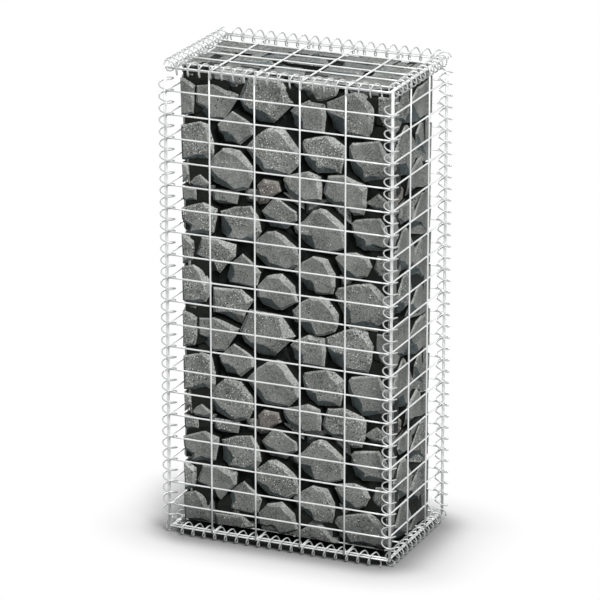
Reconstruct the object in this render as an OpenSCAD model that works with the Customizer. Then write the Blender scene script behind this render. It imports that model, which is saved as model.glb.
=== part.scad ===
// Gabion wall basket: six welded mesh panels laced along all twelve edges with wire coils, filled with stone.
// Row frame: X is the width, Y is the depth (the front is at -Y), Z is up, and z = 0 is the floor.

/* [Cage] */
// Width between the outer upright wires' centres, mm
cage_w = 500; // [300:50:1000]
// Depth between the front and back panels' outer wires, mm
cage_d = 300; // [200:50:500]
// Height between the bottom and top wires' centres, mm
cage_h = 1000; // [500:50:1200]

/* [Mesh] */
// Spacing of the upright wires, mm
cell_w = 100; // [90:10:120]
// Spacing of the level wires, mm
cell_h = 50; // [45:5:60]
// Diameter of the mesh wire, mm
wire_d = 3.5; // [3:0.25:4]

/* [Lacing coils] */
// Diameter of the coil wire, mm
coil_wire_d = 3; // [2.5:0.25:3]

/* [Stone] */
// Gap between the end panels' wire centres and the stone, left and right, mm
stone_side_gap = 15; // [12:1:25]
// Gap between the front and back wire centres and the stone, mm
stone_face_gap = 35; // [25:1:45]

/* [Hidden] */
// How far crossing wires sink into each other at a weld, mm
weld_lap = 0.4;
// Clear space between one panel's wires and the next panel's, mm
panel_clearance = 0.4;
// Clear space between the stone and the wires above and below it, mm
stone_clearance = 0.1;
wire_r = wire_d / 2;
coil_wire_r = coil_wire_d / 2;
wire_sides = 8;
// Distance between the centre planes of the two wire layers of a panel, mm
layer = wire_d - weld_lap;
hw = cage_w / 2;
hd = cage_d / 2;
// Even spacings near the asked cells, mm
step_w = cage_w / round(cage_w / cell_w);
step_h = cage_h / round(cage_h / cell_h);
step_d = cage_d / round(cage_d / cell_w);
step_e = cage_d / round(cage_d / cell_h);
// A coil is wound from tilted half circles: their radius before scaling, and the sine of their tilt
unit_r = 10;
rise = 0.4239;
// Turns of the coils keep step with the wires, so that no turn meets one: length of one turn, mm
pitch_x = step_w / 4;
pitch_z = step_h / 2;
// Where the end panels' edge uprights stand and their level wires end, mm
end_edge_y = hd - layer - wire_d - panel_clearance;
// Where the lid's and the bottom's edge wires lie, mm
lid_edge_x = hw - layer - wire_d - panel_clearance;
lid_edge_y = hd - layer - wire_d - panel_clearance;
// Centre lines of the coils, mm
coil_x = hw - 2.5;
coil_y = hd - 3.5;
// The coils along y run between the lid's edge wires, those along x and z end short of them, mm
turns_y = 2 * round(cage_d / cell_h);
pitch_y = 2 * lid_edge_y / turns_y;
end_x = 0.75 * pitch_x;
end_z = 0.75 * pitch_z;
// Whole half turns that fit, and where the coils start
halves_x = floor((cage_w - 2 * end_x) / pitch_x * 2 + 0.01);
halves_y = 2 * turns_y;
halves_z = floor((cage_h - 2 * end_z) / pitch_z * 2 + 0.01);
start_x = -halves_x * pitch_x / 4;
start_y = -halves_y * pitch_y / 4;
// Angles of the bottom coils where they pass the first wire or the middle of the depth
at_front_bottom = 326;
at_back_bottom = 214;
at_left_bottom = 190;
at_right_bottom = 102;
// Height of the bottom wires' centres above the floor, so that the lowest turn rests on it, mm
base_z = max(reach(pitch_x, start_angle_x(at_front_bottom) - 270),
    reach(pitch_x, start_angle_x(at_back_bottom) - 270),
    reach(pitch_y, start_angle_y(at_left_bottom) - 180),
    reach(pitch_y, start_angle_y(at_right_bottom) - 180));
lift_h = (cage_h - 2 * (layer + wire_r + stone_clearance)) / 4;
stone_hw = hw - stone_side_gap;
stone_hd = hd - stone_face_gap;
// Rim cut that clears the coils along the top and bottom edges of the ends, mm
rim = 8;

// Radius of the half circles that rise half a turn each
function arc_r(pitch) = pitch / 4 / rise;

// How far a coil reaches from its centre line, at an angle from the line through its joints
function reach(pitch, angle) =
    coil_wire_r + arc_r(pitch) * sqrt(pow(sin(angle), 2) + (1 - pow(rise, 2)) * pow(cos(angle), 2));

// The angle at which a coil along x, y or z starts
function start_angle_x(at_wire) = at_wire - 360 * (start_x + hw) / pitch_x;
function start_angle_y(at_middle) = at_middle + 360 * start_y / pitch_y;
function start_angle_z(at_bottom) = at_bottom - 360 * end_z / pitch_z;

// One straight wire along x, y or z
module wire_x(x0, x1, y, z) {
    translate([x0, y, z])
        rotate([0, 90, 0])
            cylinder(h = x1 - x0, r = wire_r, $fn = wire_sides);
}
module wire_y(y0, y1, x, z) {
    translate([x, y1, z])
        rotate([90, 0, 0])
            cylinder(h = y1 - y0, r = wire_r, $fn = wire_sides);
}
module wire_z(z0, z1, x, y) {
    translate([x, y, z0])
        cylinder(h = z1 - z0, r = wire_r, $fn = wire_sides);
}

// A full-width panel: uprights outside, level wires welded to their inner side
module long_panel(side) {
    translate([0, 0, base_z]) {
        for (x = [-hw : step_w : hw + 0.01])
            wire_z(-wire_r, cage_h + wire_r, x, side * hd);
        for (z = [0 : step_h : cage_h + 0.01])
            wire_x(-hw - wire_r, hw + wire_r, side * (hd - layer), z);
    }
}

// An end panel that stands between the two long ones
module end_panel(side) {
    inner_ys = [for (i = [1 : round(cage_d / step_d) - 1]) -hd + i * step_d];
    translate([0, 0, base_z]) {
        for (y = concat([-end_edge_y], inner_ys, [end_edge_y]))
            wire_z(-wire_r, cage_h + wire_r, side * hw, y);
        for (z = [0 : step_h : cage_h + 0.01])
            wire_y(-end_edge_y - wire_r, end_edge_y + wire_r, side * (hw - layer), z);
    }
}

// The lid or the bottom, inside the four upright panels
module flat_panel(up) {
    z_outer = up > 0 ? cage_h : 0;
    z_inner = z_outer - up * layer;
    inner_xs = [for (i = [1 : round(cage_w / step_w) - 1]) -hw + i * step_w];
    inner_ys = [for (i = [1 : round(cage_d / step_e) - 1]) -hd + i * step_e];
    translate([0, 0, base_z]) {
        for (x = concat([-lid_edge_x], inner_xs, [lid_edge_x]))
            wire_y(-lid_edge_y - wire_r, lid_edge_y + wire_r, x, z_outer);
        for (y = concat([-lid_edge_y], inner_ys, [lid_edge_y]))
            wire_x(-lid_edge_x - wire_r, lid_edge_x + wire_r, y, z_inner);
    }
}

// Half a turn of a coil at its size before scaling, hand +1 as a screw thread and -1 the other way
module half_turn(hand, wire) {
    translate([0, 0, unit_r * rise])
        rotate([0, -hand * asin(rise), 0])
            rotate([0, 0, 180])
                rotate_extrude(angle = 180, $fn = 48)
                    translate([unit_r, 0])
                        circle(r = wire, $fn = 24);
}

// A coil of whole half turns rising from z = 0, starting at an angle measured from x towards y
module coil(halves, pitch, hand, start) {
    size = arc_r(pitch) / unit_r;
    rotate([0, 0, start + (hand > 0 ? 180 : 0)])
        scale(size)
            for (k = [0 : halves - 1])
                translate([0, 0, 2 * unit_r * rise * k])
                    rotate([0, 0, 180 * (k % 2)])
                        half_turn(hand, coil_wire_r / size);
}

// A coil along x (angles from y towards z), along y (from z towards x) or along z (from x towards y)
module coil_along_x(y, z, s0, halves, hand, start) {
    translate([s0, y, z])
        rotate([90, 0, 90])
            coil(halves, pitch_x, hand, start);
}
module coil_along_y(x, z, s0, halves, hand, start) {
    translate([x, s0, z])
        rotate([90, 0, 90])
            rotate([90, 0, 90])
                coil(halves, pitch_y, hand, start);
}
module coil_along_z(x, y, s0, halves, hand, start) {
    translate([x, y, s0])
        coil(halves, pitch_z, hand, start);
}

// One lift of the stone fill, and the same with a cut rim at its foot or head
module stone_lift(n) {
    z0 = base_z + layer + wire_r + stone_clearance + (n - 1) * lift_h;
    foot = n == 1 ? rim : 0;
    head = n == 4 ? rim : 0;
    translate([0, stone_hd, z0])
        rotate([90, 0, 0])
            linear_extrude(height = 2 * stone_hd)
                polygon([[-stone_hw + foot, 0], [stone_hw - foot, 0], [stone_hw, foot],
                    [stone_hw, lift_h - head], [stone_hw - head, lift_h], [-stone_hw + head, lift_h],
                    [-stone_hw, lift_h - head], [-stone_hw, foot]]);
}

// The lacing coil of an edge, by its side of the cage and its angle where it would pass the first
// wire, the middle of the depth, or the bottom. The angles are those at which a turn just bears on
// a mesh wire without biting into it.
module lace_x(side, level, at_wire) {
    coil_along_x(side * coil_y, base_z + level, start_x, halves_x, -1, start_angle_x(at_wire));
}
module lace_y(side, level, at_middle) {
    coil_along_y(side * coil_x, base_z + level, start_y, halves_y, 1, start_angle_y(at_middle));
}
module lace_z(side_x, side_y, at_bottom) {
    coil_along_z(side_x * coil_x, side_y * coil_y, base_z + end_z, halves_z, -1, start_angle_z(at_bottom));
}

module mesh_front() color("silver") long_panel(-1);
module mesh_back() color("silver") long_panel(1);
module mesh_left() color("silver") end_panel(-1);
module mesh_right() color("silver") end_panel(1);
module mesh_lid() color("silver") flat_panel(1);
module mesh_bottom() color("silver") flat_panel(-1);
module coil_front_left() color("gainsboro") lace_z(-1, -1, 32);
module coil_front_right() color("gainsboro") lace_z(1, -1, 59);
module coil_back_left() color("gainsboro") lace_z(-1, 1, 328);
module coil_back_right() color("gainsboro") lace_z(1, 1, 301);
module coil_front_top() color("gainsboro") lace_x(-1, cage_h, 290);
module coil_back_top() color("gainsboro") lace_x(1, cage_h, 146);
module coil_front_bottom() color("gainsboro") lace_x(-1, 0, at_front_bottom);
module coil_back_bottom() color("gainsboro") lace_x(1, 0, at_back_bottom);
module coil_left_top() color("gainsboro") lace_y(-1, cage_h, 350);
module coil_right_top() color("gainsboro") lace_y(1, cage_h, 78);
module coil_left_bottom() color("gainsboro") lace_y(-1, 0, at_left_bottom);
module coil_right_bottom() color("gainsboro") lace_y(1, 0, at_right_bottom);
module stone_lift_1() color("dimgray") stone_lift(1);
module stone_lift_2() color("dimgray") stone_lift(2);
module stone_lift_3() color("dimgray") stone_lift(3);
module stone_lift_4() color("dimgray") stone_lift(4);

mesh_front();
mesh_back();
mesh_left();
mesh_right();
mesh_lid();
mesh_bottom();
coil_front_left();
coil_front_right();
coil_back_left();
coil_back_right();
coil_front_top();
coil_back_top();
coil_left_top();
coil_right_top();
coil_front_bottom();
coil_back_bottom();
coil_left_bottom();
coil_right_bottom();
stone_lift_1();
stone_lift_2();
stone_lift_3();
stone_lift_4();
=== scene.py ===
"""Gabion wall: a welded wire basket laced with coils and packed with dark broken stone."""

import math
from collections import namedtuple

import bpy
import numpy as np
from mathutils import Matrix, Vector


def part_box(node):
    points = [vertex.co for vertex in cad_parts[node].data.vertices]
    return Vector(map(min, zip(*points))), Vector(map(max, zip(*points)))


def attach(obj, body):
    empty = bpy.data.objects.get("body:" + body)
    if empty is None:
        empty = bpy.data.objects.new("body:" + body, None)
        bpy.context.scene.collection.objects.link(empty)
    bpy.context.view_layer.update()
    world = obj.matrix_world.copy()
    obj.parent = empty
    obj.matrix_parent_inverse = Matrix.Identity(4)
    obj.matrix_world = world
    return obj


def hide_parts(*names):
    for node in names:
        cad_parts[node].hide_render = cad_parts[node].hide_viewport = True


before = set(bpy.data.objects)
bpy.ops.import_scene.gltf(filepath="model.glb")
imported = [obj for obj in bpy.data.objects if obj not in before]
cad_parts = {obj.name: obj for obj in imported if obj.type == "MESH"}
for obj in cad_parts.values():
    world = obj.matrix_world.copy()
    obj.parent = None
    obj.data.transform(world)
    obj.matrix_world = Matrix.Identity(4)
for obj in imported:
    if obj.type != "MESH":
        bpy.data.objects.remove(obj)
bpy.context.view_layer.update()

# Radii of the two wires. All sizes are in metres.
WIRE_R = 0.00175
COIL_R = 0.0015

# The cage between the middles of its outer wires, from the front panel's box.
mesh_lo, mesh_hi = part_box("mesh_front")
BASE = mesh_lo[2] + WIRE_R
TOP = mesh_hi[2] - WIRE_R
HALF_W = mesh_hi[0] - WIRE_R
HALF_D = -mesh_lo[1] - WIRE_R
HEIGHT = TOP - BASE

# The front, right, upper and lower face of the stone fill, from the boxes of its lifts.
LIFTS = ["stone_lift_1", "stone_lift_2", "stone_lift_3", "stone_lift_4"]
fill_lo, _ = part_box("stone_lift_1")
_, fill_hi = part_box("stone_lift_4")
FACE_Y, FACE_X, FACE_TOP, FOOT = fill_lo[1], fill_hi[0], fill_hi[2], fill_lo[2]

# Where the camera stands, to the front right and above, how far it is turned and tilted, and its lens.
CAMERA = Vector((3.2161496, -7.438357, 3.19340106 + BASE))
CAMERA_TURN, CAMERA_TILT = math.radians(-23.4774594), math.radians(-18.4565729)
SENSOR_MM, LENS_MM = 36.0, 246.913


def place_camera():
    """A long lens from the front right, looking down at the basket."""
    data = bpy.data.cameras.new("camera")
    data.sensor_width, data.lens = SENSOR_MM, LENS_MM
    data.clip_start, data.clip_end = 0.1, 100.0
    camera = bpy.data.objects.new("camera", data)
    level = math.cos(CAMERA_TILT)
    ahead = Vector((math.sin(CAMERA_TURN) * level, math.cos(CAMERA_TURN) * level, math.sin(CAMERA_TILT)))
    camera.location = CAMERA
    camera.rotation_mode = "QUATERNION"
    camera.rotation_quaternion = ahead.to_track_quat("-Z", "Y")
    bpy.context.scene.collection.objects.link(camera)
    bpy.context.scene.camera = camera


place_camera()


# Materials

class Value:
    """A socket of one number, so that shader maths reads as an expression."""

    def __init__(self, paint, socket):
        self.paint, self.socket = paint, socket

    def _with(self, operation, other, swapped=False):
        first, second = (other, self) if swapped else (self, other)
        return self.paint.value("ShaderNodeMath", {"operation": operation}, {0: first, 1: second})

    def __add__(self, other):
        return self._with("ADD", other)

    __radd__ = __add__

    def __sub__(self, other):
        return self._with("SUBTRACT", other)

    def __rsub__(self, other):
        return self._with("SUBTRACT", other, True)

    def __mul__(self, other):
        return self._with("MULTIPLY", other)

    __rmul__ = __mul__

    def __pow__(self, other):
        return self._with("POWER", other)

    def __abs__(self):
        return self._with("ABSOLUTE", 0.0)


class Paint:
    """The nodes of one new material, or of the world, and short ways to fill them."""

    def __init__(self, name):
        self.material = bpy.data.materials.new(name) if isinstance(name, str) else name
        self.material.use_nodes = True
        self.tree = self.material.node_tree
        self.tree.nodes.clear()

    def node(self, kind, settings=None, inputs=None):
        """Adds a node: its settings first, then its sockets' values or links. Returns its outputs."""
        made = self.tree.nodes.new(kind)
        for key, setting in (settings or {}).items():
            setattr(made, key, setting)
        for key, wanted in (inputs or {}).items():
            wanted = wanted.socket if isinstance(wanted, Value) else wanted
            if isinstance(wanted, bpy.types.NodeSocket):
                self.tree.links.new(wanted, made.inputs[key])
            else:
                made.inputs[key].default_value = wanted
        return made.outputs

    def value(self, kind, settings=None, inputs=None, output=0):
        return Value(self, self.node(kind, settings, inputs)[output])

    def attribute(self, name):
        return self.value("ShaderNodeAttribute", {"attribute_name": name}, output="Fac")

    def place(self):
        """Object coordinates, in metres."""
        return self.node("ShaderNodeTexCoord")["Object"]

    def along(self, axis):
        """The Object coordinate along one axis."""
        return self.value("ShaderNodeSeparateXYZ", None, {0: self.place()}, axis)

    def noise(self, scale, detail=3.0, rough=0.55):
        inputs = {"Vector": self.place(), "Scale": scale, "Detail": detail, "Roughness": rough}
        return self.value("ShaderNodeTexNoise", None, inputs)

    def spots(self, scale):
        """Distance to the nearest of scattered points, in cells."""
        return self.value("ShaderNodeTexVoronoi", None, {"Vector": self.place(), "Scale": scale})

    def larger(self, first, second):
        return self.value("ShaderNodeMath", {"operation": "MAXIMUM"}, {0: first, 1: second})

    def between(self, value, low, high, start=0.0, end=1.0):
        """Smooth step of a value, from start at low to end at high."""
        inputs = {"Value": value, "From Min": low, "From Max": high, "To Min": start, "To Max": end}
        return self.value("ShaderNodeMapRange", {"interpolation_type": "SMOOTHSTEP"}, inputs)

    def mix(self, factor, first, second):
        """Colour mix. Sockets 6 and 7 are the colours."""
        first = (*first, 1.0) if isinstance(first, tuple) else first
        second = (*second, 1.0) if isinstance(second, tuple) else second
        return self.node("ShaderNodeMix", {"data_type": "RGBA"}, {0: factor, 6: first, 7: second})[2]

    def scaled(self, colour, factor):
        """Colour times a number."""
        return self.node("ShaderNodeVectorMath", {"operation": "SCALE"}, {0: colour, "Scale": factor})[0]

    def bump(self, height, strength, distance, under=None):
        inputs = {"Height": height, "Strength": strength, "Distance": distance}
        if under is not None:
            inputs["Normal"] = under
        return self.node("ShaderNodeBump", None, inputs)[0]

    def finish(self, inputs):
        shader = self.node("ShaderNodeBsdfPrincipled", None, inputs)[0]
        self.node("ShaderNodeOutputMaterial", None, {"Surface": shader})
        return self.material


# Colours of the zinc coat, then of the stone from the painted shade of its gaps, black, to the painted
# highlight of its pale rims.
MESH_ZINC = (0.82, 0.83, 0.83)
# The coils' zinc is the mesh's painted darker: painted shade for the coils' darker look.
COIL_ZINC_PAINTED_DARK = (0.52, 0.53, 0.53)
SPANGLE = (0.50, 0.52, 0.53)
GRIME = (0.22, 0.215, 0.20)
PAINTED_GAP_SHADE = (0.009, 0.011, 0.009)
PAINTED_SLATE_SHADE = (0.112, 0.139, 0.142)
WEATHERED_GREY = (0.223, 0.230, 0.221)
PAINTED_HIGHLIGHT = (0.395, 0.405, 0.390)
BROWN_STONE = (0.165, 0.140, 0.122)
CRYSTAL = (0.72, 0.73, 0.70)
PIT = (0.010, 0.010, 0.012)


def galvanised(name, zinc, rough):
    """Weathered zinc coat, part bare metal and part its pale dull skin: patches, a faint spangle and small
    spots of grime."""
    p = Paint(name)
    patches = p.noise(22.0, 4.0)
    spangle = p.spots(320.0)
    dull = p.between(patches, 0.40, 0.68)
    colour = p.mix(dull, zinc, tuple(0.86 * part for part in zinc))
    colour = p.mix(p.between(spangle, 0.1, 0.7) * 0.25, colour, SPANGLE)
    grime = p.between(p.noise(150.0, 5.0, 0.7), 0.62, 0.78)
    colour = p.mix(grime * 0.35, colour, GRIME)
    return p.finish({
        "Base Color": colour,
        "Metallic": 0.25,
        "Roughness": rough + 0.16 * dull + 0.08 * spangle,
        "Normal": p.bump(p.noise(420.0, 3.0), 0.25, 0.0004),
    })


# Values of the attribute tone: painted shade on the walls of the gaps, painted shade on a lower facet, and a
# stone's own face.
PAINTED_GAP_SHADE_TONE, PAINTED_SLATE_SHADE_TONE, FACE_TONE = -1.0, -0.62, 0.0


def basalt(name):
    """Dark broken basalt. The attribute tone runs from the painted shade of the gaps, black, at -1 over the
    painted shade of a lower facet, slate, at -0.6 and the grey of a weathered face at 0 to the painted
    highlight of a pale rim or upper facet at 1. The attribute fleck says how many pale crystals and dark pits
    a stone has, warm how brown it is. Clouds and a fine grain vary the colour's brightness, and towards the
    foot the colour is darkened, a painted shade near the floor."""
    p = Paint(name)
    tone, warm, many = p.attribute("tone"), p.attribute("warm"), p.attribute("fleck")
    # Painted shade and highlight: black on the walls in the gaps, slate on lower facets, pale on upper facets
    # and rims.
    colour = p.mix(p.between(tone, -1.0, -0.7), PAINTED_GAP_SHADE, PAINTED_SLATE_SHADE)
    colour = p.mix(p.between(tone, -0.55, -0.12), colour, WEATHERED_GREY)
    colour = p.mix(p.between(tone, 0.1, 1.0), colour, PAINTED_HIGHLIGHT)
    colour = p.mix(warm * 0.6, colour, BROWN_STONE)
    cloud = p.between(p.noise(19.0, 5.0, 0.6), 0.34, 0.66)
    grain = p.noise(330.0, 6.0, 0.8)
    colour = p.scaled(colour, 0.30 + 0.36 * cloud + 0.86 * p.between(grain, 0.36, 0.64))
    # Painted shade: the colour darkens towards the foot, near the floor.
    colour = p.scaled(colour, p.between(p.along(2), 0.02, 0.13, 0.62, 1.0))
    # Crystals show only out of the painted shade of the gaps and the lower facets.
    weathered = p.between(tone, -0.5, -0.1)
    crowd = p.between(p.noise(36.0, 3.0) + 0.30 * many, 0.66, 0.76) * weathered
    crystal = p.between(p.spots(205.0), 0.33, 0.20) * crowd
    pit = p.between(p.spots(170.0), 0.32, 0.18) * p.between(p.noise(44.0, 2.0) + 0.24 * many, 0.59, 0.67)
    colour = p.mix(crystal * 0.85, colour, CRYSTAL)
    colour = p.mix(pit * 0.9, colour, PIT)
    coarse = p.bump(p.noise(70.0, 6.0, 0.7), 0.6, 0.006)
    fine = p.bump(p.noise(420.0, 4.0, 0.7) + 0.8 * crystal - 1.5 * pit, 0.5, 0.0015, coarse)
    return p.finish({
        "Base Color": colour,
        "Roughness": 0.74 + 0.18 * grain,
        "Specular IOR Level": 0.2,
        "Normal": fine,
    })


MESH_FINISH = galvanised("galvanised_mesh_wire", MESH_ZINC, 0.36)
COIL_FINISH = galvanised("galvanised_coil_wire", COIL_ZINC_PAINTED_DARK, 0.28)
STONE_FINISH = basalt("broken_basalt")


# Wires

def ring_quads(rings, sides):
    """The four-sided faces of a tube: from each of its rings to the next, one for every side."""
    start = np.arange(rings - 1)[:, None] * sides
    corner = np.arange(sides)[None, :]
    after = (corner + 1) % sides
    quads = np.stack([start + corner, start + after, start + sides + after, start + sides + corner], -1)
    return quads.reshape(-1, 4)


def tube_faces(rings, sides):
    """The faces of a tube of rings, in groups with as many corners: its sides, and a cap on each end."""
    cap = np.arange(sides)[None, :]
    return [ring_quads(rings, sides), cap[:, ::-1], cap + (rings - 1) * sides]


def sweep(path, radius, reference, sides=10):
    """A round wire: at every point of the path a circle of the radius, square to the path's direction,
    turned so that its first corner lies towards the reference direction, with a cap on each end."""
    path = np.asarray(path, float)
    ahead = np.gradient(path, axis=0)
    ahead /= np.linalg.norm(ahead, axis=1, keepdims=True)
    side = reference - (ahead @ reference)[:, None] * ahead
    side /= np.linalg.norm(side, axis=1, keepdims=True)
    up = np.cross(ahead, side)
    turn = np.arange(sides) * 2 * np.pi / sides
    ring = np.cos(turn)[None, :, None] * side[:, None, :] + np.sin(turn)[None, :, None] * up[:, None, :]
    points = (path[:, None, :] + radius * ring).reshape(-1, 3)
    return points, tube_faces(len(path), sides)


def piece(name, parts, finish, nodes, smooth=True, attributes=None):
    """Joins parts to one mesh that rides on the object and stands for CAD nodes. A part is its points and
    its groups of faces, and an attribute has one value for every face."""
    starts = np.cumsum([0] + [len(points) for points, _ in parts])
    points = np.concatenate([points for points, _ in parts])
    groups = [group + start for start, (_, part) in zip(starts, parts) for group in part]
    faces = [face for group in groups for face in group.tolist()]
    mesh = bpy.data.meshes.new(name)
    mesh.from_pydata(points.tolist(), [], faces)
    mesh.validate()
    for key, values in (attributes or {}).items():
        mesh.attributes.new(key, "FLOAT", "FACE").data.foreach_set("value", np.asarray(values, np.float32))
    mesh.polygons.foreach_set("use_smooth", [smooth] * len(mesh.polygons))
    mesh.materials.append(finish)
    made = bpy.data.objects.new(name, mesh)
    bpy.context.scene.collection.objects.link(made)
    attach(made, "root")
    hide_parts(*nodes)
    return made


def straight(start, end):
    """A straight mesh wire: nine equal circles evenly along the line between its ends."""
    start, end = np.array(start, float), np.array(end, float)
    line = end - start
    level = abs(line[2]) < 0.5 * np.linalg.norm(line)
    reference = np.eye(3)[2 if level else 0]
    return sweep(np.linspace(0, 1, 9)[:, None] * line + start, WIRE_R, reference, 12)


# How far a weld bead reaches from its middle, along the two wires and across both, and how it is cut.
BEAD_WIDE, BEAD_FLAT = 1.449 * WIRE_R, 0.966 * WIRE_R
BEAD_LATITUDES = np.radians([-64.8, 0.0, 64.8])
BEAD_SIDES = 10


def weld(centre, flat_axis):
    """The squeezed bead where two wires are welded: rings of an ellipsoid, flattened along the axis that
    runs across both wires, with the cosine of each latitude as radius and its sine as height."""
    turn = np.arange(BEAD_SIDES) * 2 * np.pi / BEAD_SIDES
    up = BEAD_LATITUDES[:, None]
    across, over = np.cos(up) * np.cos(turn), np.cos(up) * np.sin(turn)
    rings = np.stack(np.broadcast_arrays(across, over, np.sin(up)), -1)
    reach = np.full(3, BEAD_WIDE)
    reach[flat_axis] = BEAD_FLAT
    points = np.roll(rings.reshape(-1, 3), flat_axis + 1, axis=1) * reach + np.array(centre)
    return points, tube_faces(len(BEAD_LATITUDES), BEAD_SIDES)


# Between the middles of a panel's two layers of wire, and clear between one panel's wires and the next's.
LAYER = 0.0031
EDGE_GAP = 0.0004
# The edge uprights of the end panels, and the edge wires of the lid and the bottom.
END_Y = HALF_D - LAYER - 2 * WIRE_R - EDGE_GAP
LID_X = HALF_W - LAYER - 2 * WIRE_R - EDGE_GAP
LID_Y = END_Y
# Cells across the width, the depth and the height, and between the lid's wires in the depth.
CELLS_W, CELLS_D, CELLS_H, ROWS_D = 5, 3, 20, 6


def long_panel(side):
    """Uprights outside, level wires welded on inside, and a bead at each crossing."""
    y_out, y_in = side * HALF_D, side * (HALF_D - LAYER)
    xs = np.linspace(-HALF_W, HALF_W, CELLS_W + 1)
    zs = np.linspace(BASE, TOP, CELLS_H + 1)
    parts = [straight((x, y_out, BASE - WIRE_R), (x, y_out, TOP + WIRE_R)) for x in xs]
    parts += [straight((-HALF_W - WIRE_R, y_in, z), (HALF_W + WIRE_R, y_in, z)) for z in zs]
    parts += [weld((x, (y_out + y_in) / 2, z), 1) for x in xs for z in zs]
    return parts


def end_panel(side):
    """The narrow panel between the two long ones."""
    x_out, x_in = side * HALF_W, side * (HALF_W - LAYER)
    inner = np.linspace(-HALF_D, HALF_D, CELLS_D + 1)[1:-1]
    ys = [-END_Y, *inner, END_Y]
    zs = np.linspace(BASE, TOP, CELLS_H + 1)
    parts = [straight((x_out, y, BASE - WIRE_R), (x_out, y, TOP + WIRE_R)) for y in ys]
    parts += [straight((x_in, -END_Y - WIRE_R, z), (x_in, END_Y + WIRE_R, z)) for z in zs]
    parts += [weld(((x_out + x_in) / 2, y, z), 0) for y in ys for z in zs]
    return parts


def flat_panel(up):
    """The lid or the bottom, inside the upright panels."""
    z_out = TOP if up > 0 else BASE
    z_in = z_out - up * LAYER
    xs = [-LID_X, *np.linspace(-HALF_W, HALF_W, CELLS_W + 1)[1:-1], LID_X]
    ys = [-LID_Y, *np.linspace(-HALF_D, HALF_D, ROWS_D + 1)[1:-1], LID_Y]
    parts = [straight((x, -LID_Y - WIRE_R, z_out), (x, LID_Y + WIRE_R, z_out)) for x in xs]
    parts += [straight((-LID_X - WIRE_R, y, z_in), (LID_X + WIRE_R, y, z_in)) for y in ys]
    parts += [weld((x, y, (z_out + z_in) / 2), 2) for x in xs for y in ys]
    return parts


for node, parts in (
    ("mesh_front", long_panel(-1)), ("mesh_back", long_panel(1)),
    ("mesh_left", end_panel(-1)), ("mesh_right", end_panel(1)),
    ("mesh_lid", flat_panel(1)), ("mesh_bottom", flat_panel(-1)),
):
    piece("welded_" + node, parts, MESH_FINISH, [node])


# Coils

# A coil is wound from tilted half circles: the sine of their tilt, and the straight steps of each.
RISE = 0.4239
STEPS = 13
# The middle lines of the coils, just inside the outer wires.
COIL_X, COIL_Y = HALF_W - 0.0025, HALF_D - 0.0035
# Length of one turn, in step with the wires so that no turn meets one: four turns to a cell of the width,
# and two to a cell between the lid's wires or between level wires.
PITCH_X = 2 * HALF_W / CELLS_W / 4
PITCH_Y = 2 * LID_Y / (2 * ROWS_D)
PITCH_Z = HEIGHT / CELLS_H / 2
# Half circles of the coils along each axis, and where the first one starts, for z from the bottom wires.
HALVES_X, HALVES_Y, HALVES_Z = 37, 24, 77
START_X, START_Y = -HALVES_X * PITCH_X / 4, -HALVES_Y * PITCH_Y / 4
START_Z = 0.75 * PITCH_Z


def coil(axis, centre, start, halves, pitch, hand, angle):
    """A lacing coil: half circles, each tilted about its own middle line so that it climbs half a turn's
    pitch, and each turned half round from the last. Along axis 0 angles run from y to z, along 1 from
    z to x and along 2 from x to y. Hand 1 is a right-handed screw."""
    radius = pitch / 4 / RISE
    total = np.linspace(0, halves, halves * STEPS + 1)
    half = np.minimum(np.floor(total + 1e-9), halves - 1)
    turn = np.pi * (total - half)
    around = np.pi + turn if hand > 0 else 2 * np.pi - turn
    along = start + radius * RISE * (1 + hand * np.cos(around)) + half * pitch / 2
    across = radius * math.cos(math.asin(RISE)) * np.cos(around)
    over = radius * np.sin(around)
    spin = math.radians(angle) + (np.pi if hand > 0 else 0.0) + np.pi * (half % 2)
    first = centre[0] + across * np.cos(spin) - over * np.sin(spin)
    second = centre[1] + across * np.sin(spin) + over * np.cos(spin)
    path = np.empty((len(total), 3))
    path[:, axis], path[:, (axis + 1) % 3], path[:, (axis + 2) % 3] = along, first, second
    return sweep(path, COIL_R, np.eye(3)[axis], 10)


def angle_x(at_wire):
    """Start angle of a coil along x from its angle at the leftmost upright, in degrees."""
    return at_wire - 360 * (START_X + HALF_W) / PITCH_X


def angle_y(at_middle):
    """Start angle of a coil along y from its angle at the middle of the depth."""
    return at_middle + 360 * START_Y / PITCH_Y


def angle_z(at_bottom):
    """Start angle of a coil along z from its angle at the height of the bottom wires."""
    return at_bottom - 360 * START_Z / PITCH_Z


def lacing(node, *winding):
    """The coil that stands for one CAD node."""
    piece("lacing_" + node, [coil(*winding)], COIL_FINISH, [node])


# The angles turn each coil until one of its turns bears on a wire.
for node, side_x, side_y, at in (
    ("coil_front_left", -1, -1, 32), ("coil_front_right", 1, -1, 59),
    ("coil_back_left", -1, 1, 328), ("coil_back_right", 1, 1, 301),
):
    centre = (side_x * COIL_X, side_y * COIL_Y)
    lacing(node, 2, centre, BASE + START_Z, HALVES_Z, PITCH_Z, -1, angle_z(at))
for node, side, level, at in (
    ("coil_front_top", -1, TOP, 290), ("coil_back_top", 1, TOP, 146),
    ("coil_front_bottom", -1, BASE, 326), ("coil_back_bottom", 1, BASE, 214),
):
    lacing(node, 0, (side * COIL_Y, level), START_X, HALVES_X, PITCH_X, -1, angle_x(at))
for node, side, level, at in (
    ("coil_left_top", -1, TOP, 350), ("coil_right_top", 1, TOP, 78),
    ("coil_left_bottom", -1, BASE, 190), ("coil_right_bottom", 1, BASE, 102),
):
    lacing(node, 1, (level, side * COIL_X), START_Y, HALVES_Y, PITCH_Y, 1, angle_y(at))


# Stones

# Each stone is (set back, warm, corners): warm is 1 for a brownish one, and a corner is across, up and bevel
# width, in centimetres. The corners are read where they line up with the mesh in front of them in the
# photographed view. The front and the right side are the upper 50 cm, which comes twice in the height.

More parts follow.
